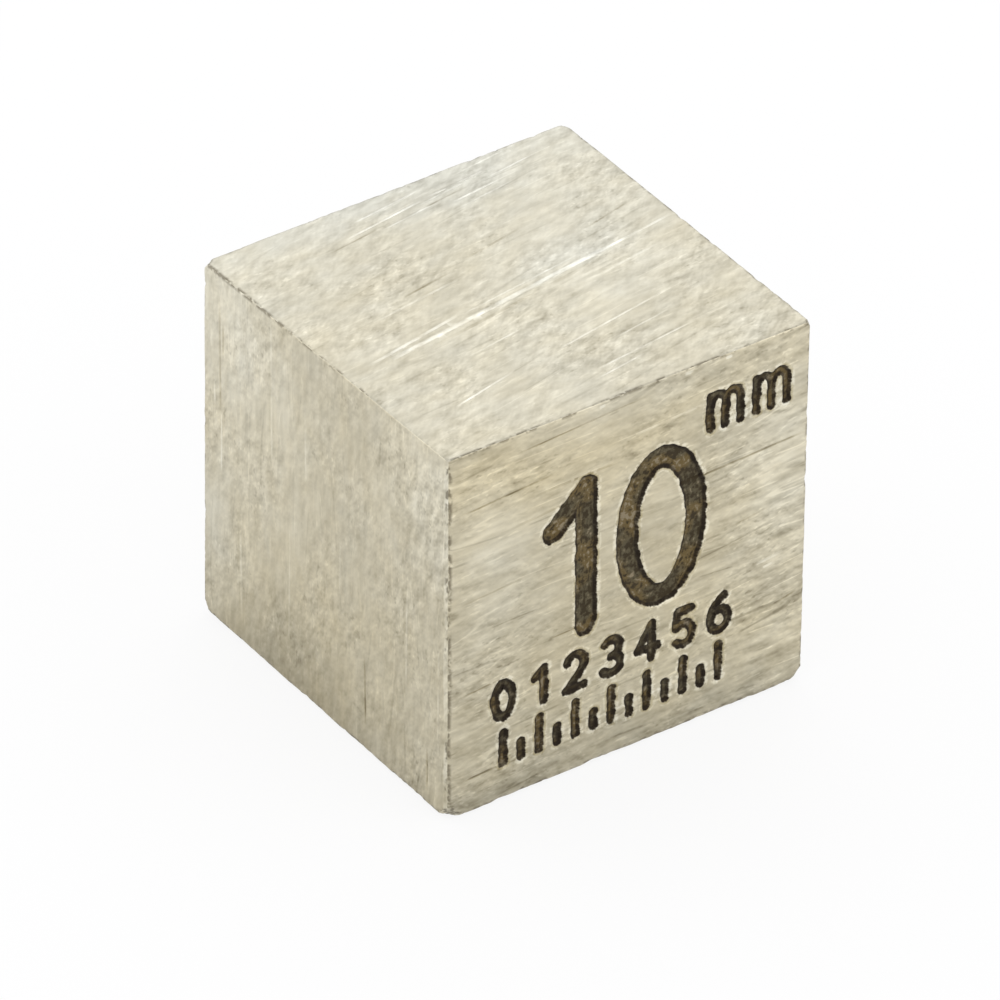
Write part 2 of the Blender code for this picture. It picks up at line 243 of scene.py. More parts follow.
def markStrokes():
    # every engraved line: its points, half its width and its depth
    strokes = []

    def addLetter(letter, left, foot, height, width, depth):
        for path in letters[letter]:
            points = [(left + x * height, foot + y * height) for x, y in path]
            strokes.append((points, width / 2, depth))

    for text, left, foot, height, gap, width, depth in mark["text"]:
        for letter in text:
            addLetter(letter, left, foot, height, width, depth)
            left += letterWidth(letter) * height + width + gap
    for half in range(2 * mark["scaleLength"] + 1):
        x = mark["scaleStart"] + half / 2
        top = mark["halfTop"] if half % 2 else mark["scaleTop"]
        strokes.append(([(x, mark["scaleFoot"]), (x, top)], mark["stroke"] / 2, mark["depth"]))
    for number in range(mark["scaleLength"] + 1):
        letter = str(number)
        left = mark["scaleStart"] + number - letterWidth(letter) * mark["numberHeight"] / 2
        addLetter(letter, left, mark["numberFoot"], mark["numberHeight"], mark["stroke"], mark["depth"])
    return strokes


def strokeTable(strokes):
    # each stroke with the box that it can be felt in, so that far ones are passed over
    table = []
    for points, half, depth in strokes:
        reach = half + mark["felt"]
        xs, ys = [x for x, y in points], [y for x, y in points]
        box = (min(xs) - reach, max(xs) + reach, min(ys) - reach, max(ys) + reach)
        legs = []
        before = 5.0 * len(table)  # so that no two strokes are streaked alike
        for (ax, ay), (bx, by) in zip(points, points[1:]):
            legs.append((ax, ay, bx - ax, by - ay, (bx - ax) ** 2 + (by - ay) ** 2, before))
            before += math.hypot(bx - ax, by - ay)
        table.append((box, legs, half, depth))
    return table


markTable = strokeTable(markStrokes())


def noiseAt(x, y, layers):
    return sum(strength * noise.noise(Vector((x * often, y * often, far))) for often, strength, far in layers)


def markAt(x, y):
    # distance to the nearest engraved outline, negative inside, that line's depth, and how far
    # along it this is
    best, depth, along = mark["far"], 0.0, 0.0
    for box, legs, half, cut in markTable:
        if box[0] < x < box[1] and box[2] < y < box[3]:
            for ax, ay, dx, dy, long, before in legs:
                t = min(1, max(0, ((x - ax) * dx + (y - ay) * dy) / long))
                gone = math.hypot(x - ax - dx * t, y - ay - dy * t) - half
                if gone < best:
                    best, depth, along = gone, cut, before + t * math.sqrt(long)
    if best < mark["raggedFelt"]:
        best += mark["ragged"] * noiseAt(x, y, mark["raggedNoise"])
    return best, depth, along


def markHeight(x, y, gap, cut):
    # a burnt recess with a rough floor, and a thin rim thrown up beside it
    head, foot = mark["wall"]
    down = min(1, max(0, (head - gap) / (head - foot)))
    high, place, half = mark["burr"]
    rim = math.exp(-((gap - place) / half) ** 2) * (0.5 + noiseAt(x, y, mark["burrNoise"]))
    return -down * (cut + mark["rough"] * noiseAt(x, y, mark["roughNoise"])) + high * rim


# Scratches on each side, from end to end, then width and depth in mm, and how bright the bare metal
# in it is, or how dark the dirt in it where that is below nought. The short bright ones near the
# front's right edge and along its top edge are painted glints.
scratches = {
    "top": [
        (-3.7, -0.86, 2.95, 0.13, 0.12, 0.026, 0.86), (2.3, 0.03, 4.85, 0.41, 0.065, 0.014, 0.6),
        (-4.2, -0.77, -1.5, -0.24, 0.08, 0.02, 0.8), (-3.0, -1.02, 2.8, -0.12, 0.09, 0.008, -0.22),
        (-1.4, -0.28, 2.2, 0.26, 0.045, 0.012, 0.45), (-1.8, 3.75, 0.4, 4.1, 0.06, 0.018, 0.8),
        (0.7, 4.15, 2.6, 4.38, 0.06, 0.018, 0.8), (1.1, 3.66, 2.4, 3.84, 0.055, 0.018, 0.8),
        (-3.6, -3.25, -1.8, -2.83, 0.05, 0.014, 0.6), (-0.4, -2.66, 3.1, -2.05, 0.05, 0.014, 0.55),
        (3.0, 1.05, 4.3, 1.36, 0.045, 0.012, -0.6), (-0.6, -0.62, 0.9, -0.4, 0.04, 0.012, -0.45),
        (-1.3, 4.22, 0.6, 4.5, 0.05, 0.013, 0.55), (-0.9, 3.6, 0.9, 3.88, 0.045, 0.012, 0.5),
        (0.2, 3.97, 1.9, 4.22, 0.05, 0.014, 0.6), (1.7, 4.58, 3.6, 4.84, 0.045, 0.012, 0.5),
        (2.3, 4.06, 3.9, 4.29, 0.045, 0.013, 0.5), (-2.4, 3.48, -1.1, 3.68, 0.045, 0.012, -0.45),
        (0.3, 3.82, 1.4, 3.98, 0.04, 0.012, -0.5), (1.0, 3.38, 2.8, 3.64, 0.045, 0.012, 0.4),
        (0.8, -3.02, 2.6, -2.74, 0.045, 0.012, 0.4), (-2.2, -1.75, -0.6, -1.5, 0.045, 0.012, 0.45),
    ],
    "front": [
        (-4.9, 3.43, -2.2, 3.6, 0.045, 0.018, -0.8), (-3.1, 4.55, 0.4, 4.74, 0.04, 0.014, -0.6),
        (1.2, 1.9, 4.85, 2.02, 0.05, 0.02, -0.9), (-4.5, -4.02, -3.6, -3.95, 0.05, 0.02, -0.8),
        # the second scratch here, short and bright, is a painted glint
        (2.8, 0.15, 4.2, 0.33, 0.045, 0.014, -0.5), (3.6, -1.19, 4.3, -1.12, 0.08, 0.022, 1.0),
        # the second one here, short and bright, is a painted glint
        (3.8, -2.6, 4.7, -2.4, 0.05, 0.018, -0.6), (3.75, -1.36, 4.05, -1.33, 0.06, 0.016, 0.9),
        (-4.6, 0.95, -2.9, 1.05, 0.045, 0.014, -0.55), (-4.7, -1.62, -3.2, -1.5, 0.045, 0.014, -0.5),
        # these three short bright strokes on the top edge are painted glints
        (1.5, 4.93, 1.74, 4.94, 0.085, 0.01, 1.0), (-0.86, 4.94, -0.68, 4.95, 0.07, 0.01, 0.9),
        (2.62, 4.94, 2.82, 4.95, 0.075, 0.01, 0.9),
    ],
    "left": [
        (-2.12, 4.7, -2.1, 0.9, 0.06, 0.014, 0.45), (-3.42, -1.2, -3.38, -4.2, 0.07, 0.014, 0.4),
        (3.35, 0.6, 3.32, -2.3, 0.06, 0.016, 0.45), (4.18, -3.4, 4.2, -4.5, 0.06, 0.026, -0.8),
        (-4.45, 2.1, -4.42, 0.6, 0.06, 0.016, 0.7), (-0.75, 3.2, -0.72, 1.2, 0.055, 0.012, 0.35),
        (4.62, -0.3, 4.6, -3.2, 0.06, 0.014, 0.55),
    ],
    "right": [], "back": [], "bottom": [],
}
strays = {  # more of them, placed at random along the saw lines
    "count": {"right": 12, "back": 12, "left": 6, "top": 6, "bottom": 10, "front": 6},
    "lean": 2.0,  # degrees off the saw lines
    "length": (0.8, 3.2), "width": (0.04, 0.065), "depth": 0.014,
    "across": 4.3,  # how far from the middle they lie, across the saw lines and along them
    "along": 4.6,
    "shine": (-0.6, -0.4, 0.35, 0.5, 0.7),
    "seed": 83,
}
groove = {  # the form of each scratch, in mm or in its own widths
    "felt": 0.2,  # mm beside it and past its ends that it is worked out for
    "past": 0.1,
    "taper": 0.5,  # its ends fade over this many mm, or this share of its length if less,
    "taperShare": 0.3,
    "endDepth": 0.2,  # down to this share of its depth
    "valley": 0.45,  # half width, in widths
    "burr": (0.35, 0.95, 0.35),  # the rim beside it: height in depths, place and half width in widths
    "colour": (0.75, 0.06),  # how far its colour reaches, in widths and more mm
    "far": 3.0,  # stands for the distance in widths where none is near
}


def addStrays(chance):
    for name, count in strays["count"].items():
        for turn in range(count):
            angle = math.radians(sides[name]["grain"] + chance.uniform(-strays["lean"], strays["lean"]))
            way = Vector((math.cos(angle), math.sin(angle)))
            across = Vector((-way.y, way.x))
            length = chance.uniform(*strays["length"])
            middle = across * chance.uniform(-strays["across"], strays["across"])
            middle += way * chance.uniform(-1, 1) * (strays["along"] - length / 2)
            start, end = middle - way * length / 2, middle + way * length / 2
            shine = chance.choice(strays["shine"])
            scratches[name].append((*start, *end, chance.uniform(*strays["width"]), strays["depth"], shine))


addStrays(random.Random(strays["seed"]))


def besideScratch(scratch, x, y):
    # how far along the scratch a place is, how far off it, and how long the scratch is
    ax, ay, bx, by = scratch[:4]
    dx, dy = bx - ax, by - ay
    long = math.hypot(dx, dy)
    along = ((x - ax) * dx + (y - ay) * dy) / long
    return along, abs((y - ay) * dx - (x - ax) * dy) / long, long


def scratchAt(name, x, y):
    # height left by the scratches, distance to the strongest in its own widths, and its shine here
    height, nearest, shine, strongest = 0.0, groove["far"], 0.0, 0.0
    burrHeight, burrPlace, burrHalf = groove["burr"]
    for scratch in scratches[name]:
        along, off, long = besideScratch(scratch, x, y)
        if -groove["past"] < along < long + groove["past"] and off < groove["felt"]:
            width, depth, bright = scratch[4:]
            taper = min(groove["taper"], long * groove["taperShare"])
            fade = min(1, max(0, min(along, long - along) / taper + groove["endDepth"]))
            valley = math.exp(-(off / (width * groove["valley"])) ** 2)
            burr = math.exp(-((off - width * burrPlace) / (width * burrHalf)) ** 2)
            height += depth * fade * (burrHeight * burr - valley)
            widths, more = groove["colour"]
            strength = fade * abs(bright) * (widths * width + more - off)
            if strength > strongest:
                nearest, shine, strongest = off / width, fade * bright, strength
    return height, nearest, shine


# the block itself
block = {
    "squares": 80,  # along each edge
    "crowding": 1.4,  # above 1, the squares crowd towards the edges
    # bands of finer mesh: mm beside an edge, engraved line or scratch, and the longest side there
    "edgeBands": ((0.14, 0.075),),
    "markBands": ((0.17, 0.075), (0.08, 0.038)),
    "scratchBands": ((0.12, 0.075), (0.07, 0.04)),
    "sliver": 0.002,  # mm, the width under which a triangle is taken out
    "roundness": 1.6,  # 1 is a flat chamfer, 2 a round
    # the uneven skin that the saw left: mm high, features per mm along and across, and what it
    # grows with
    "skin": [(0.003, 0.14, 1.7, "lines"), (0.0022, 0.35, 3.4, "lines"),
             (0.0032, 1.1, 2.0, "mottle"), (0.006, 0.25, 0.3, None)],
    "wander": (0.12, 0.22, 0.3),  # of the saw lines: mm, and features per mm along and across
    "apart": (20, 10),  # how far apart the sides lie in the noise
    "seed": 19,
}
# Each edge: mm worn off, how pale the worn strip is painted, a painted highlight, and how much
# painted shade darkens it at its low and at its high end. Where it is pale, that is on the half towards
# the second side named, and the painted shade keeps to the half towards the first.
edges = {
    ("front", "left"): (0.15, 1.0, 0.88, 0.78), ("front", "right"): (0.07, 0.1, 0.4, 0.4),
    ("back", "left"): (0.09, 0.3, 0.15, 0.1), ("back", "right"): (0.09, 0.4, 0.3, 0.45),
    ("front", "top"): (0.05, 0.0, 0.66, 0.34), ("left", "top"): (0.045, 0.0, -0.45, 0.95),
    ("right", "top"): (0.06, 0.1, 0.35, 0.35), ("back", "top"): (0.08, 0.3, 0.05, 0.12),
    ("front", "bottom"): (0.14, 0.0, 0.35, 0.3), ("left", "bottom"): (0.15, 0.0, 0.45, 0.35),
    ("right", "bottom"): (0.12, 0.1, 0.4, 0.3), ("back", "bottom"): (0.12, 0.1, 0.35, 0.4),
}
cornerKnocks = {  # mm off the corner
    ("left", "front", "bottom"): 0.27, ("left", "back", "bottom"): 0.24,
    ("right", "front", "bottom"): 0.22, ("right", "back", "bottom"): 0.18,
    ("left", "front", "top"): 0.09, ("left", "back", "top"): 0.15,
    ("right", "front", "top"): 0.11, ("right", "back", "top"): 0.16,
}
knock = {
    "reach": 1.2,  # mm from the corner
    "uneven": (0.05, 4),  # mm, and features per mm
    "flatness": 0.93,  # 1 cuts the corner dead flat
    # the corner knocked last: how it leans to its sides, how soon it is painted pale, a painted
    # highlight, and at how many mm wholly, and the painted shade in it
    "last": ("left", "front", "bottom"), "leans": (0.8, 1.2, 1.0), "highlightReach": (4, 0.2), "edgeShade": 0.5,
}
wear = {
    "felt": 0.8,  # mm beside an edge within which its wear is worked out
    "reach": 1.0,  # mm from an edge within which it counts
    "usual": 0.1,  # mm worn where no edge is near
    "uneven": ((0.9, 0.25, 1), (5, 0.15, 2)),  # features per mm, strength, place in the noise
    "inset": 0.35,  # how far in the painted shade starts beside a pale strip, in the strip's widths
    "halves": 0.04,  # mm over which the first side's half gives way to the second's
    "lessShade": 0.92,  # how much of the painted shade is missing on a pale half
    "merging": (0.02, 3),  # how sharply one edge's wear gives way to the next: mm and power
    # bites along each edge: how many, mm from its middle, and their half length and depth
    "nicks": ((14, 4.8, (0.025, 0.07), (0.004, 0.016)), (3, 4.6, (0.06, 0.16), (0.012, 0.03))),
    "nickFelt": (0.4, 2.5),  # how far one is felt: mm from the edge, half lengths along it
    "nickRound": 0.11,  # mm from the edge over which it fades
    "nickLean": 0.7,  # share of it that goes into each of the two sides
}
edgeOf = {frozenset(pair): (pair[0], *values) for pair, values in edges.items()}


def makeNicks(chance):
    # bites along each edge: place, half length and depth in mm
    nicks = {}
    for pair in edgeOf:
        bites = []
        for count, far, long, deep in wear["nicks"]:
            for turn in range(count):
                bites.append((chance.uniform(-far, far), chance.uniform(*long), chance.uniform(*deep)))
        nicks[pair] = bites
    return nicks


edgeNicks = makeNicks(random.Random(block["seed"]))


def nearestSides(p):
    # for each axis the nearer side, as depth below it in mm, name and direction
    found = []
    for pair in (("left", "right"), ("front", "back"), ("bottom", "top")):
        depths = []
        for name in pair:
            normal, offset = planes[name]
            depths.append(((offset - p.dot(normal)) / mm, name, normal))
        found.append(min(depths, key=lambda entry: entry[0]))
    return found


def sidePlace(name, p):
    # a point's place on a side, in mm right and up from its middle
    aside = (p - blockMiddle) / mm
    return aside.dot(Vector(sides[name]["right"])), aside.dot(Vector(sides[name]["up"]))


def turned(x, y, angle):
    turn = math.radians(angle)
    return x * math.cos(turn) + y * math.sin(turn), y * math.cos(turn) - x * math.sin(turn)


def grainPlace(name, x, y):
    # the same place along and across the saw lines, which wander a little
    a, b = turned(x, y, sides[name]["grain"])
    much, along, across = block["wander"]
    return a, b + much * noise.noise(Vector((a * along, b * across, 2.0 * sideNames.index(name))))


def sawnHeight(name, x, y):
    # in mm
    a, b = grainPlace(name, x, y)
    far = block["apart"][0] * sideNames.index(name)
    height = 0.0
    for number, (high, along, across, grows) in enumerate(block["skin"], 1):
        high *= sides[name].get(grows, 1.0)
        height += high * noise.noise(Vector((a * along + far, b * across, number)))
    return height


# how far a place on the block is from the nearest edge, engraved outline or scratch, in mm
def besideEdge(middle, found):
    return found[1][0]


def besideMark(middle, found):
    if found[0][1] != "front":
        return mark["far"]
    return abs(markAt(*sidePlace("front", middle))[0])


def besideScratches(middle, found):
    name = found[0][1]
    x, y = sidePlace(name, middle)
    gap = groove["felt"]
    for scratch in scratches[name]:
        along, off, long = besideScratch(scratch, x, y)
        if -groove["past"] < along < long + groove["past"]:
            gap = min(gap, off)
    return gap


def refine(bm, bands, gapAt):
    # halves the long edges of the mesh that run close beside something, by the gap at their middle
    for band, longest in bands:
        cut = []
        for edge in bm.edges:
            if edge.calc_length() > longest * mm:
                middle = (edge.verts[0].co + edge.verts[1].co) / 2
                if gapAt(middle, sorted(nearestSides(middle), key=lambda entry: entry[0])) < band:
                    cut.append(edge)
        bmesh.ops.subdivide_edges(bm, edges=cut, cuts=1, use_grid_fill=True)


def makeBlock():
    # a cube of squares between the corners of the solid, finer where there is something to show
    bm = bmesh.new()
    bmesh.ops.create_cube(bm, size=2)
    sideLayer = bm.faces.layers.int.new("side")
    outs = [Vector(side["out"]) for side in sides.values()]
    for face in bm.faces:
        face[sideLayer] = max(range(len(outs)), key=lambda index: face.normal.dot(outs[index]))
    bmesh.ops.subdivide_edges(bm, edges=bm.edges[:], cuts=block["squares"] - 1, use_grid_fill=True)
    for vert in bm.verts:
        shares = []
        for c in vert.co:
            c = math.copysign(1 - (1 - min(1, abs(c))) ** block["crowding"], c)
            shares.append((c + 1) / 2)
        place = Vector()
        for names, corner in corners.items():
            weight = 1.0
            for name, share in zip(names, shares):
                weight *= share if name in ("right", "back", "top") else 1 - share
            place += corner * weight
        vert.co = place
    print("block:", len(bm.faces), "squares")
    refine(bm, block["edgeBands"], besideEdge)
    refine(bm, block["markBands"], besideMark)
    refine(bm, block["scratchBands"], besideScratches)
    print("block:", len(bm.faces), "faces once refined")
    return bm, sideLayer


def wearAt(found, p):
    # how wide the nearest edges are worn here, how pale they are painted (a painted highlight) and how
    # much painted shade they get, how far in from the strip's border that shade starts, and how deep a
    # nick is
    sums = Vector((0, 0, 0, 0))
    share = 0.0
    bite = Vector()
    for first in range(3):
        for second in range(first):
            deepA, nameA, normalA = found[first]
            deepB, nameB, normalB = found[second]
            gap = math.hypot(deepA, deepB)
            if gap > wear["reach"]:
                continue
            axis = 3 - first - second
            t = (p[axis] - blockMiddle[axis]) / mm
            pair = frozenset((nameA, nameB))
            firstSide, wide, pale, shadeLow, shadeHigh = edgeOf[pair]
            seed = 7.3 * sideNames.index(nameA) + 3.1 * sideNames.index(nameB)
            wide *= sum((much * noise.noise(Vector((t * often, seed, far)))
                         for often, much, far in wear["uneven"]), 1)
            edgeShade = shadeLow + (shadeHigh - shadeLow) * (t + nominalEdge / 2) / nominalEdge
            towardsFirst = deepB - deepA if nameA == firstSide else deepA - deepB
            onSecond = min(1, max(0, 0.5 - towardsFirst / wear["halves"]))
            edgeShade *= 1 - wear["lessShade"] * pale * onSecond
            inset = wear["inset"] * wide * pale
            nearly, power = wear["merging"]
            weight = 1 / (gap + nearly) ** power
            sums += Vector((wide, pale * onSecond, edgeShade, inset)) * weight
            share += weight
            fromEdge, halves = wear["nickFelt"]
            if gap < fromEdge:
                into = math.exp(-(gap / wear["nickRound"]) ** 2)
                for place, half, deep in edgeNicks[pair]:
                    if abs(t - place) < half * halves:
                        amount = deep * math.exp(-((t - place) / half) ** 2) * into
                        bite += (normalA + normalB) * wear["nickLean"] * amount
    return (*(sums / share if share else (wear["usual"], 0.0, 0.0, 0.0)), bite)


def within(x, y, across, up, wide, high):
    # how far a place is inside a soft area: 1 in its middle, fading outwards
    return math.exp(-((x - across) / wide) ** 2 - ((y - up) / high) ** 2)


def paintCorners(bm, sideLayer):
    # on the corners of each face: its place along and across the saw lines and the blotches, and
    # how its own side turned out, whose tone also holds the painted shade along the foot of the
    # upright sides
    grainLayer = bm.loops.layers.uv.new("grain")
    blotchLayer = bm.loops.layers.uv.new("blotch")
    finishAndShadeLayer = bm.loops.layers.float_color.new("finishAndShade")
    for face in bm.faces:
        face.smooth = True
        name = sideNames[face[sideLayer]]
        side = sides[name]
        apart = Vector(block["apart"]) * face[sideLayer]
        for loop in face.loops:
            x, y = sidePlace(name, loop.vert.co)
            loop[grainLayer].uv = Vector(grainPlace(name, x, y)) + apart
            loop[blotchLayer].uv = Vector(turned(x, y, side["blotch"])) + apart
            tone, warmth = side["tone"], side["warmth"]
            lines, mottle = side["lines"], side["mottle"]
            for *area, lighter, warmer in side["patches"]:
                amount = within(x, y, *area)
                tone += lighter * amount
                warmth += warmer * amount
            for *area, moreLines, moreMottle in side["rougher"]:
                amount = within(x, y, *area)
                lines += side["lines"] * moreLines * amount
                mottle += side["mottle"] * moreMottle * amount
            loop[finishAndShadeLayer] = (lines, mottle, warmth, tone)


def ontoWall(p):
    # slides a point of the front that is close to the head or foot of an engraved wall onto it, so
    # that the wall's edges run clean through the mesh
    x, y = sidePlace("front", p)
    gap = markAt(x, y)[0]
    step, least = mark["slope"]
    for line in mark["wall"]:
        off = line - gap
        if abs(off) < mark["slide"]:
            slope = Vector((markAt(x + step, y)[0] - gap, markAt(x, y + step)[0] - gap)) / step
            if slope.length > least:
                move = slope / slope.length_squared * off
                right, up = Vector(sides["front"]["right"]), Vector(sides["front"]["up"])
                return p + (right * move.x + up * move.y) * mm
    return p


def knockOff(names, p, place):
    # how far past the knocked-off corner a place lies in mm, and the way out of that corner
    leans = knock["leans"] if names == knock["last"] else (1, 1, 1)
    out = sum((planes[name][0] * lean for name, lean in zip(names, leans)), Vector()).normalized()
    fromCorner = p - corners[names]
    much, often = knock["uneven"]
    over = (place - corners[names]).dot(out) / mm + cornerKnocks[names]
    return over + much * noise.noise(fromCorner / mm * often), out


def shapeBlock(bm):
    # moves each point from the sharp block onto the worn one, and notes what lies there
    noted = ("markGap", "markAlong", "scratchGap", "scratchShine", "edgeGap", "edgePale", "paintedEdgeShade",
             "shadeGap")
    layers = {name: bm.verts.layers.float.new(name) for name in noted}
    for vert in bm.verts:
        p = vert.co.copy()
        found = nearestSides(p)
        if min(found)[1] == "front":
            p = ontoWall(p)
        depths = sorted(entry[0] for entry in found)
        radius, pale, edgeShade, inset, bite = wear["usual"], 0.0, 0.0, 0.0, Vector()
        if depths[1] < wear["felt"]:
            radius, pale, edgeShade, inset, bite = wearAt(found, p)
        vert[layers["markGap"]] = mark["far"]
        vert[layers["scratchGap"]] = groove["far"]
        vert[layers["edgeGap"]] = min(1, depths[1] - radius)
        vert[layers["edgePale"]] = pale
        vert[layers["paintedEdgeShade"]] = edgeShade
        vert[layers["shadeGap"]] = vert[layers["edgeGap"]] + inset
        reach = [max(0, radius - depth) for depth, name, normal in found]
        span = sum(r ** block["roundness"] for r in reach) ** (1 / block["roundness"])
        place = p.copy()
        for (depth, name, normal), r in zip(found, reach):
            if r > 0:
                kept = r * radius / span
                place -= normal * (radius - kept - depth) * mm
                x, y = sidePlace(name, p)
                height = sawnHeight(name, x, y)
                scratched, near, shine = scratchAt(name, x, y)
                height += scratched
                if near < vert[layers["scratchGap"]]:
                    vert[layers["scratchGap"]] = near
                    vert[layers["scratchShine"]] = shine
                if name == "front":
                    gap, cut, along = markAt(x, y)
                    vert[layers["markGap"]] = gap
                    vert[layers["markAlong"]] = along
                    height += markHeight(x, y, gap, cut)
                place += normal * height * kept / radius * mm
        place -= bite * mm
        for names in cornerKnocks:
            if (p - corners[names]).length < knock["reach"] * mm:
                over, out = knockOff(names, p, place)
                if over > 0:
                    place -= out * over * knock["flatness"] * mm
                    if names == knock["last"]:
                        # the knocked facet of the last corner is painted pale, a painted highlight, with
                        # specks of painted shade
                        soon, whole = knock["highlightReach"]
                        vert[layers["edgeGap"]] -= min(soon * over, whole)
                        vert[layers["shadeGap"]] = vert[layers["edgeGap"]]
                        vert[layers["edgePale"]] = 1.0
                        vert[layers["paintedEdgeShade"]] = knock["edgeShade"]
        vert.co = place
    # the shorter diagonals follow the engraved walls and the edges
    bmesh.ops.triangulate(bm, faces=bm.faces[:], quad_method="SHORT_EDGE", ngon_method="BEAUTY")


def dropSlivers(bm):
    # takes out triangles without width, then pairs of triangles folded onto each other
    bmesh.ops.dissolve_degenerate(bm, dist=block["sliver"] * mm, edges=bm.edges[:])
    bmesh.ops.triangulate(bm, faces=[face for face in bm.faces if len(face.verts) > 3])
    folded = [vert for vert in bm.verts if len(vert.link_edges) == 2]
    bmesh.ops.delete(bm, geom=folded, context="VERTS")


def finishBlock(bm):
    for vert in bm.verts:
        vert.co.z = max(vert.co.z, 0.0)  # it stands flat on the floor
    dropSlivers(bm)
    return addMesh("sawnBlock", bm)


bm, sideLayer = makeBlock()
paintCorners(bm, sideLayer)
shapeBlock(bm)
sawnBlock = finishBlock(bm)
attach(sawnBlock, "root")
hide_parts("bismuth_cube")
print("block shaped:", sum(len(face.vertices) - 2 for face in sawnBlock.data.polygons), "triangles")


# the metal
metal = {
    "dark": (0.26, 0.235, 0.165, 1),  # the skin runs between these two
    "light": (0.82, 0.775, 0.625, 1),
    "cool": (0.96, 1.005, 1.11, 1),  # tints laid over it
    "warm": (1.055, 0.988, 0.84, 1),
    # unevenness of the skin: features per mm along and across, octaves, roughness, strength, and
    # how much is taken off again just beside it, which gives each mark a light and a dark edge, a
    # painted highlight and painted shade as of relief lit from one side
    "lineLayers": [(0.65, 3.4, 1.3, 0.52, 0.52, 0.27), (0.2, 1.1, 2.0, 0.5, 0.18, 0),
                   (0.1, 0.5, 1.0, 0.5, 0.07, 0)],
    "blotchLayers": [(2.5, 3.7, 2.0, 0.48, 0.92, 0.5), (1.0, 1.7, 1.0, 0.5, 0.22, 0),
                     (0.4, 0.65, 1.0, 0.5, 0.09, 0)],
    "tintLayers": [(0.9, 1.6, 2.0, 0.6, 0.3, 0), (0.3, 0.5, 1.0, 0.5, 0.25, 0)],
    "beside": 0.17,  # how far off that is, in features
    # where in the noise each of these is read, and how far on each next layer is
    "starts": {"blotches": 40, "scores": 70, "scoreGaps": 110, "specks": 150, "tints": 210},
    "nextLayer": 3.1, "nextKind": 9,
    # thin lines scored by single teeth: features per mm along and across, thinness, lighter
    "scores": [(0.14, 1.3, 0.032, -0.17), (0.18, 1.8, 0.028, 0.15)],
    "scoreCore": 0.3,  # share of its width where a line is full
    "scoreGaps": 0.7,  # breaks in it: per mm along, and across as a share of its own
    # small pits and light flecks, the flecks painted glints: features per mm along and across, how
    # dark and how light
    "specks": [(3.3, 6.0, -0.26, 0.26), (1.5, 6.4, -0.12, 0.17)],
    # other noises: features per mm along and across, octaves, roughness, and where they are read
    "crowd": (0.45, 0.6, 1.0, 0.5, 160),  # crowds the marks in places
    "uneven": (1.2, 3.0, 2.0, 0.6, 170),  # along the scratches
    "edgeFine": (3.4, 3.4, 2.0, 0.6, 190),
    "edgeSlow": (0.8, 0.8, 2.0, 0.6, 200),
    "crumbs": (4.6, 5.2, 3.0, 0.68, 230),  # in and beside the engraving
    "slow": (1.1, 1.1, 1.0, 0.5, 250),
    "streaks": (2.2, 9, 2.0, 0.6, 5),  # along and across its lines
    "grit": (9.0, 9.0, 1.0, 0.5, 260),
    # where the marks begin and where they are full, in their noise
    "brokenScore": (0.0, 0.1), "pits": (-0.12, -0.26), "glintFlecks": (0.13, 0.27),
    "crowded": (-0.06, 0.12, 0.25, 1.0),
    "crowding": 2.2,  # how strongly the marks crowd
    "scratchBand": (0.75, 0.35),  # in widths of the scratch
    "scratchUneven": (3.0, 0.9),  # how much its shine comes and goes, and its mean
    "scratchShine": 0.42,
    # the edges, with a painted highlight on the pale strip and painted shade beside it: where each
    # begins and is full, in mm from the border of the worn strip
    "paleBand": (0.01, -0.03), "brokenPale": (-0.14, 0.12, 0.15, 1.0), "paleEdge": 0.24,
    "shadeBand": (0.06, -0.03), "brokenShade": (0.16, 0.62), "shadeShare": 0.72,
    "edgeWander": 0.05,  # mm
    "shadeMix": (2.4, 0.7, 0.6),  # of fine noise, slow noise and the edge's own painted shade
    # the colour of the painted shade along the edges
    "paintedEdgeShade": (0.13, 0.108, 0.07, 1),
    # how much warmer each is, and how much rougher
    "paleWarmth": -0.15, "burrWarmth": -0.5, "shineWarmth": -0.25,
    "roughness": 0.44, "skinRough": -0.3, "shineRough": -0.1, "burntRough": 0.14,
    "burntMetal": (0.01, -0.02, 1.0, 0.35),  # mm from the outline, and how metallic it is there
    "burntGloss": 0.2,  # of what isn't metal
    "relief": 0.016,  # mm, and how strong it is in pits and in the burnt floor
    "speckRelief": 0.25, "burntRelief": 1.4,
    # the engraving: its outline, partly burnt and partly painted shade on the recess walls, then its
    # floor from dark to light, greyer and browner
    "burnAndShadeLine": (0.016, 0.01, 0.005, 1),
    "burnDark": (0.042, 0.03, 0.013, 1),
    "burnGrey": (0.1, 0.083, 0.047, 1),
    "burnBrown": (0.138, 0.097, 0.037, 1),
    "burnLight": (0.25, 0.205, 0.13, 1),
    "scorch": (0.4, 0.33, 0.16, 1),  # browned skin beside a line
    "burnMix": (0.7, 0.9, 0.5, 0.5),  # of streaks, crumbs, grit and slow noise in the floor
    # where each begins and is full, in mm from the outline or in its noise
    "burntBand": (0.014, -0.014), "markWander": 0.06,
    # the outline band lies on the walls of the recess: partly burnt colour, partly painted shade
    "lineBand": (0.022, -0.008), "lineInside": (-0.115, -0.048), "brokenLine": (0.2, -0.1, 0.6, 0.96),
    "brownParts": (-0.09, 0.09), "darkParts": (0.06, -0.2), "lightParts": (0.1, 0.3),
    "scorchBand": (0.1, 0.02), "brokenScorch": (-0.02, 0.12), "scorchShare": 0.55,
    # the pale rim beside the engraving is a painted highlight
    "burrBand": (0.13, 0.05), "brokenBurr": (-0.07, 0.08), "burrShine": 0.42,
}


def addNode(tree, kind, **settings):
    node = tree.nodes.new(kind)
    for key, value in settings.items():
        setattr(node, key, value)
    return node


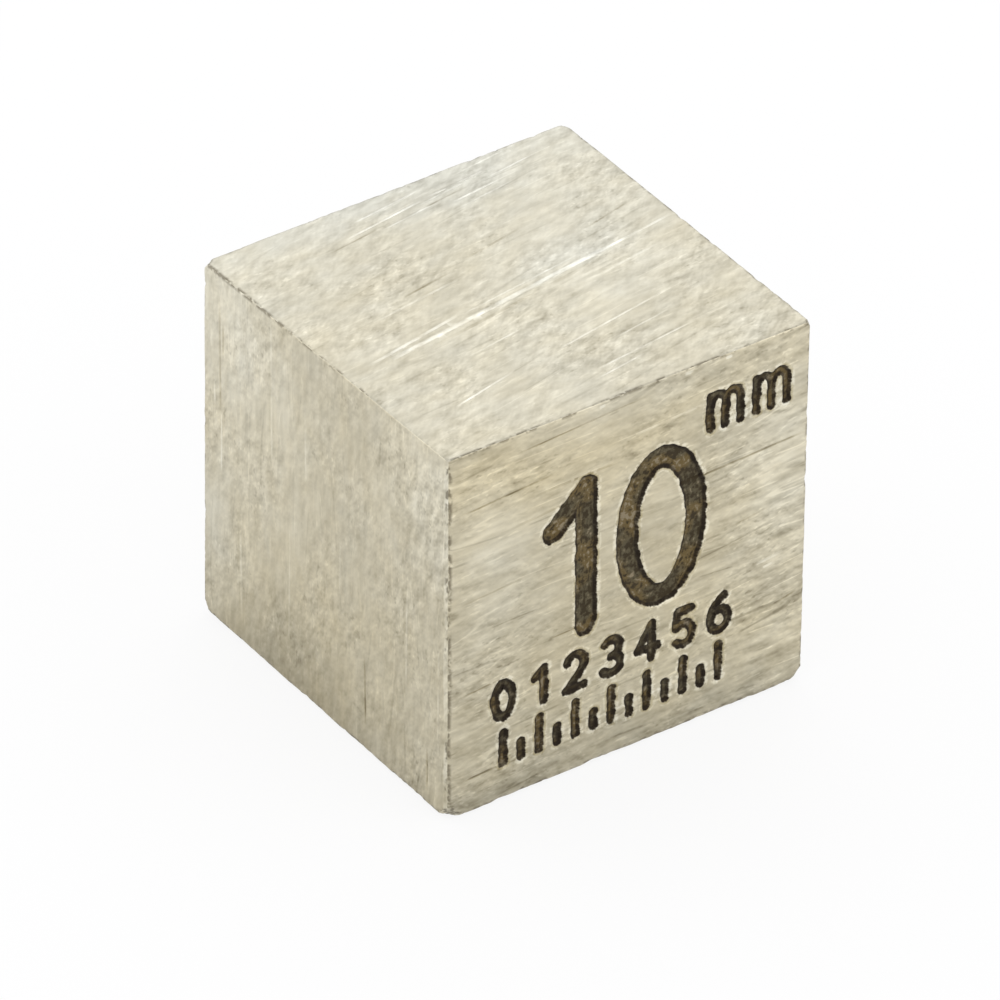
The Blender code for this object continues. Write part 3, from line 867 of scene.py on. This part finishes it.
def stretchedNoise(tree, place, along, across, octaves=1.0, roughness=0.5, shift=0.0):
    # noise with this many features per mm each way, centred on nought
    mapping = addNode(tree, "ShaderNodeMapping")
    mapping.inputs["Location"].default_value = (shift * 0.37, shift, 0)
    mapping.inputs["Scale"].default_value = (along, across, 1)
    tree.links.new(place, mapping.inputs["Vector"])
    texture = addNode(tree, "ShaderNodeTexNoise", noise_dimensions="2D")
    texture.inputs["Scale"].default_value = 1.0
    texture.inputs["Detail"].default_value = octaves
    texture.inputs["Roughness"].default_value = roughness
    tree.links.new(mapping.outputs["Vector"], texture.inputs["Vector"])
    return doMath(tree, "SUBTRACT", texture.outputs["Fac"], 0.5)


def layeredNoise(tree, place, layers, shift=0.0):
    parts = []
    for number, (along, across, octaves, roughness, strength, paintedEmboss) in enumerate(layers):
        start = shift + metal["nextLayer"] * number
        parts.append((stretchedNoise(tree, place, along, across, octaves, roughness, start), strength))
        # the copy read just beside paints a light and a dark edge: painted highlight and painted shade
        if paintedEmboss:
            off = start + metal["beside"]
            beside = stretchedNoise(tree, place, along, across, octaves, roughness, off)
            parts.append((beside, -paintedEmboss))
    return weighted(tree, *parts)


def feed(tree, value, socket):
    if isinstance(value, (int, float, tuple)):
        socket.default_value = value
    else:
        tree.links.new(value, socket)


def doMath(tree, operation, *values):
    node = addNode(tree, "ShaderNodeMath", operation=operation)
    for socket, value in zip(node.inputs, values):
        feed(tree, value, socket)
    return node.outputs["Value"]


def weighted(tree, *pairs):
    # the sum of values times weights
    total = None
    for value, weight in pairs:
        total = doMath(tree, "MULTIPLY_ADD", value, weight, 0.0 if total is None else total)
    return total


def ramp(tree, value, low, high, toLow=0.0, toHigh=1.0):
    node = addNode(tree, "ShaderNodeMapRange", interpolation_type="SMOOTHSTEP")
    tree.links.new(value, node.inputs["Value"])
    for key, number in (("From Min", low), ("From Max", high), ("To Min", toLow), ("To Max", toHigh)):
        node.inputs[key].default_value = number
    return node.outputs["Result"]


def blendColour(tree, share, first, second, way="MIX"):
    node = addNode(tree, "ShaderNodeMix", data_type="RGBA", blend_type=way)
    for number, value in ((0, share), (6, first), (7, second)):  # its sockets for colours
        feed(tree, value, node.inputs[number])
    return node.outputs[2]


def makeMetal():
    material = bpy.data.materials.new("sawn bismuth")
    material.use_nodes = True
    tree = material.node_tree
    shader = tree.nodes["Principled BSDF"]

    def attribute(name):
        return addNode(tree, "ShaderNodeAttribute", attribute_name=name).outputs["Fac"]

    def noiseOf(place, name):
        return stretchedNoise(tree, place, *metal[name])

    def band(value, name):
        return ramp(tree, value, *metal[name])

    def times(*values):
        product = values[0]
        for value in values[1:]:
            product = doMath(tree, "MULTIPLY", product, value)
        return product

    grain = addNode(tree, "ShaderNodeUVMap", uv_map="grain").outputs["UV"]
    blotch = addNode(tree, "ShaderNodeUVMap", uv_map="blotch").outputs["UV"]
    # lines, mottle, warmth and tone; the tone holds the painted shade along the foot of the upright sides
    finishAndShade = addNode(tree, "ShaderNodeAttribute", attribute_name="finishAndShade")
    parts = addNode(tree, "ShaderNodeSeparateColor")
    tree.links.new(finishAndShade.outputs["Color"], parts.inputs["Color"])
    lines, mottle, warmth = parts.outputs
    tone = finishAndShade.outputs["Alpha"]

    # the sawn skin: lines, blotches, scored lines, pits, and light flecks that are painted glints
    starts = metal["starts"]
    lineSum = layeredNoise(tree, grain, metal["lineLayers"])
    blotchSum = layeredNoise(tree, blotch, metal["blotchLayers"], starts["blotches"])
    crowd = noiseOf(blotch, "crowd")
    lined = times(lineSum, doMath(tree, "MULTIPLY_ADD", crowd, -metal["crowding"], 1.0))
    pitted = times(blotchSum, doMath(tree, "MULTIPLY_ADD", crowd, metal["crowding"], 1.0))
    skin = weighted(tree, (lined, lines), (pitted, mottle))
    scored = 0.0
    for number, (along, across, thin, lighter) in enumerate(metal["scores"]):
        on, gaps = metal["nextKind"] * number, metal["scoreGaps"]
        ridge = stretchedNoise(tree, grain, along, across, 0.0, 0.5, starts["scores"] + on)
        ridge = ramp(tree, doMath(tree, "ABSOLUTE", ridge), thin, thin * metal["scoreCore"])
        broken = stretchedNoise(tree, grain, gaps, across * gaps, 1.0, 0.5, starts["scoreGaps"] + on)
        scored = doMath(tree, "ADD", times(ridge, band(broken, "brokenScore"), lighter), scored)
    specks, dashes = [], []
    for number, (along, across, dark, light) in enumerate(metal["specks"]):
        on = starts["specks"] + metal["nextKind"] * number
        speck = stretchedNoise(tree, grain, along, across, 2.0, 0.6, on)
        specks.append(speck)
        dashes.append(weighted(tree, (band(speck, "pits"), dark), (band(speck, "glintFlecks"), light)))
    crowded = times(dashes[0], band(crowd, "crowded"))
    level = weighted(tree, (skin, 1.0), (tone, 1.0), (scored, lines), (crowded, mottle), (dashes[1], lines))

    # scratches are bright with bare metal or dark with dirt, and some short bright ones are painted glints
    shine = times(band(attribute("scratchGap"), "scratchBand"), attribute("scratchShine"))
    shine = times(shine, doMath(tree, "MULTIPLY_ADD", noiseOf(grain, "uneven"), *metal["scratchUneven"]))
    level = weighted(tree, (shine, metal["scratchShine"]), (level, 1.0))

    # edges: a pale strip on some, a painted highlight, and broken painted shade in or beside it
    edgeFine, edgeSlow = noiseOf(grain, "edgeFine"), noiseOf(grain, "edgeSlow")
    edgeGap = weighted(tree, (attribute("edgeGap"), 1.0), (edgeFine, metal["edgeWander"]))
    strip = times(band(edgeGap, "paleBand"), attribute("edgePale"))
    pale = times(strip, band(edgeSlow, "brokenPale"))
    level = weighted(tree, (pale, metal["paleEdge"]), (level, 1.0))
    shadeGap = weighted(tree, (attribute("shadeGap"), 1.0), (edgeFine, metal["edgeWander"]))
    broken = weighted(tree, *zip((edgeFine, edgeSlow, attribute("paintedEdgeShade")), metal["shadeMix"]))
    edgeShade = times(band(shadeGap, "shadeBand"), band(broken, "brokenShade"))

    # a painted highlight on the rim thrown up beside the engraving
    markGap = attribute("markGap")
    crumbs, slow = noiseOf(grain, "crumbs"), noiseOf(grain, "slow")
    burr = times(band(markGap, "burrBand"), band(crumbs, "brokenBurr"), metal["burrShine"])
    level = doMath(tree, "ADD", level, burr)

    colour = blendColour(tree, level, metal["dark"], metal["light"])
    tintSum = layeredNoise(tree, grain, metal["tintLayers"], starts["tints"])
    tint = weighted(tree, (warmth, 1.0), (tintSum, 1.0), (pale, metal["paleWarmth"]),
                    (burr, metal["burrWarmth"]), (shine, metal["shineWarmth"]))
    tint = blendColour(tree, tint, metal["cool"], metal["warm"])
    colour = blendColour(tree, 1.0, colour, tint, "MULTIPLY")
    # lays the painted shade along the edges
    colour = blendColour(tree, times(edgeShade, metal["shadeShare"]), colour, metal["paintedEdgeShade"])

    # the burnt engraving: a near-black ragged outline round a streaky floor. The outline lies on the
    # walls of the recess and is partly burnt colour, partly painted shade
    markPlace = addNode(tree, "ShaderNodeCombineXYZ")
    tree.links.new(attribute("markAlong"), markPlace.inputs["X"])
    tree.links.new(markGap, markPlace.inputs["Y"])
    streaks, grit = noiseOf(markPlace.outputs["Vector"], "streaks"), noiseOf(grain, "grit")
    raggedGap = weighted(tree, (markGap, 1.0), (crumbs, metal["markWander"]))
    floorMask = band(raggedGap, "burntBand")
    burn = weighted(tree, *zip((streaks, crumbs, grit, slow), metal["burnMix"]))
    burnt = blendColour(tree, band(slow, "brownParts"), metal["burnGrey"], metal["burnBrown"])
    burnt = blendColour(tree, band(burn, "darkParts"), burnt, metal["burnDark"])
    burnt = blendColour(tree, band(burn, "lightParts"), burnt, metal["burnLight"])
    scorched = times(band(markGap, "scorchBand"), doMath(tree, "SUBTRACT", 1.0, floorMask))
    scorched = times(scorched, band(slow, "brokenScorch"), metal["scorchShare"])
    outline = times(band(raggedGap, "lineBand"), band(raggedGap, "lineInside"))
    outline = times(outline, band(crumbs, "brokenLine"))
    colour = blendColour(tree, scorched, colour, metal["scorch"])
    colour = blendColour(tree, floorMask, colour, burnt)
    colour = blendColour(tree, outline, colour, metal["burnAndShadeLine"])
    tree.links.new(colour, shader.inputs["Base Color"])

    tree.links.new(band(raggedGap, "burntMetal"), shader.inputs["Metallic"])
    roughness = weighted(tree, (skin, metal["skinRough"]), (shine, metal["shineRough"]),
                         (floorMask, metal["burntRough"]))
    tree.links.new(doMath(tree, "ADD", roughness, metal["roughness"]), shader.inputs["Roughness"])

    height = weighted(tree, (lineSum, 1.0), (specks[0], metal["speckRelief"]),
                      (times(floorMask, crumbs), metal["burntRelief"]))
    bump = addNode(tree, "ShaderNodeBump")
    bump.inputs["Distance"].default_value = metal["relief"] * mm
    tree.links.new(height, bump.inputs["Height"])
    tree.links.new(bump.outputs["Normal"], shader.inputs["Normal"])
    shader.inputs["Specular IOR Level"].default_value = metal["burntGloss"]
    return material


sawnBlock.data.materials.append(makeMetal())
print("metal made")


# floor and light
studio = {
    "floorSize": 1.5,  # m, half its width
    "floorShade": 0.88,
    "glowSeen": 0.86,  # share of the paper's brightness that no shadow takes away, as seen
    "glowMirrored": 0.4,  # and as the metal mirrors it
    "sky": (0.95, 0.95, 0.97, 1),
    # azimuth, elevation, distance and size in m, brightness
    "softBoxes": [(145, 38, 0.45, 0.42, 0.6), (35, 30, 0.5, 0.4, 0.7), (-145, 28, 0.5, 0.4, 0.7)],
}


def makePaper(paper, glow):
    shade = studio["floorShade"] * (1 - glow)
    paper.inputs["Base Color"].default_value = (shade, shade, shade, 1)
    paper.inputs["Roughness"].default_value = 1.0
    paper.inputs["Specular IOR Level"].default_value = 0.0
    paper.inputs["Emission Color"].default_value = (1, 1, 1, 1)
    paper.inputs["Emission Strength"].default_value = glow
    return paper.outputs["BSDF"]


def makeFloor():
    bm = bmesh.new()
    bmesh.ops.create_grid(bm, x_segments=1, y_segments=1, size=studio["floorSize"])
    floor = addMesh("floor", bm)
    material = bpy.data.materials.new("floor paper")
    material.use_nodes = True
    tree = material.node_tree
    mirrored = makePaper(tree.nodes["Principled BSDF"], studio["glowMirrored"])
    seen = makePaper(addNode(tree, "ShaderNodeBsdfPrincipled"), studio["glowSeen"])
    either = addNode(tree, "ShaderNodeMixShader")
    lightPath = addNode(tree, "ShaderNodeLightPath")
    tree.links.new(lightPath.outputs["Is Camera Ray"], either.inputs[0])
    tree.links.new(mirrored, either.inputs[1])
    tree.links.new(seen, either.inputs[2])
    tree.links.new(either.outputs["Shader"], tree.nodes["Material Output"].inputs["Surface"])
    floor.data.materials.append(material)


def makeLights():
    world = bpy.data.worlds.new("soft studio")
    world.use_nodes = True
    world.node_tree.nodes["Background"].inputs["Color"].default_value = studio["sky"]
    bpy.context.scene.world = world
    for azimuth, elevation, distance, size, brightness in studio["softBoxes"]:
        way = directionTo(azimuth, elevation)
        light = addObject("soft box", bpy.data.lights.new("soft box", "AREA"))
        light.data.size = size
        light.data.energy = brightness * math.pi * size ** 2
        light.location = way * distance
        light.rotation_euler = way.to_track_quat("Z", "Y").to_euler()


makeFloor()
makeLights()
bpy.context.scene.view_settings.view_transform = "Standard"
print("floor and light set")
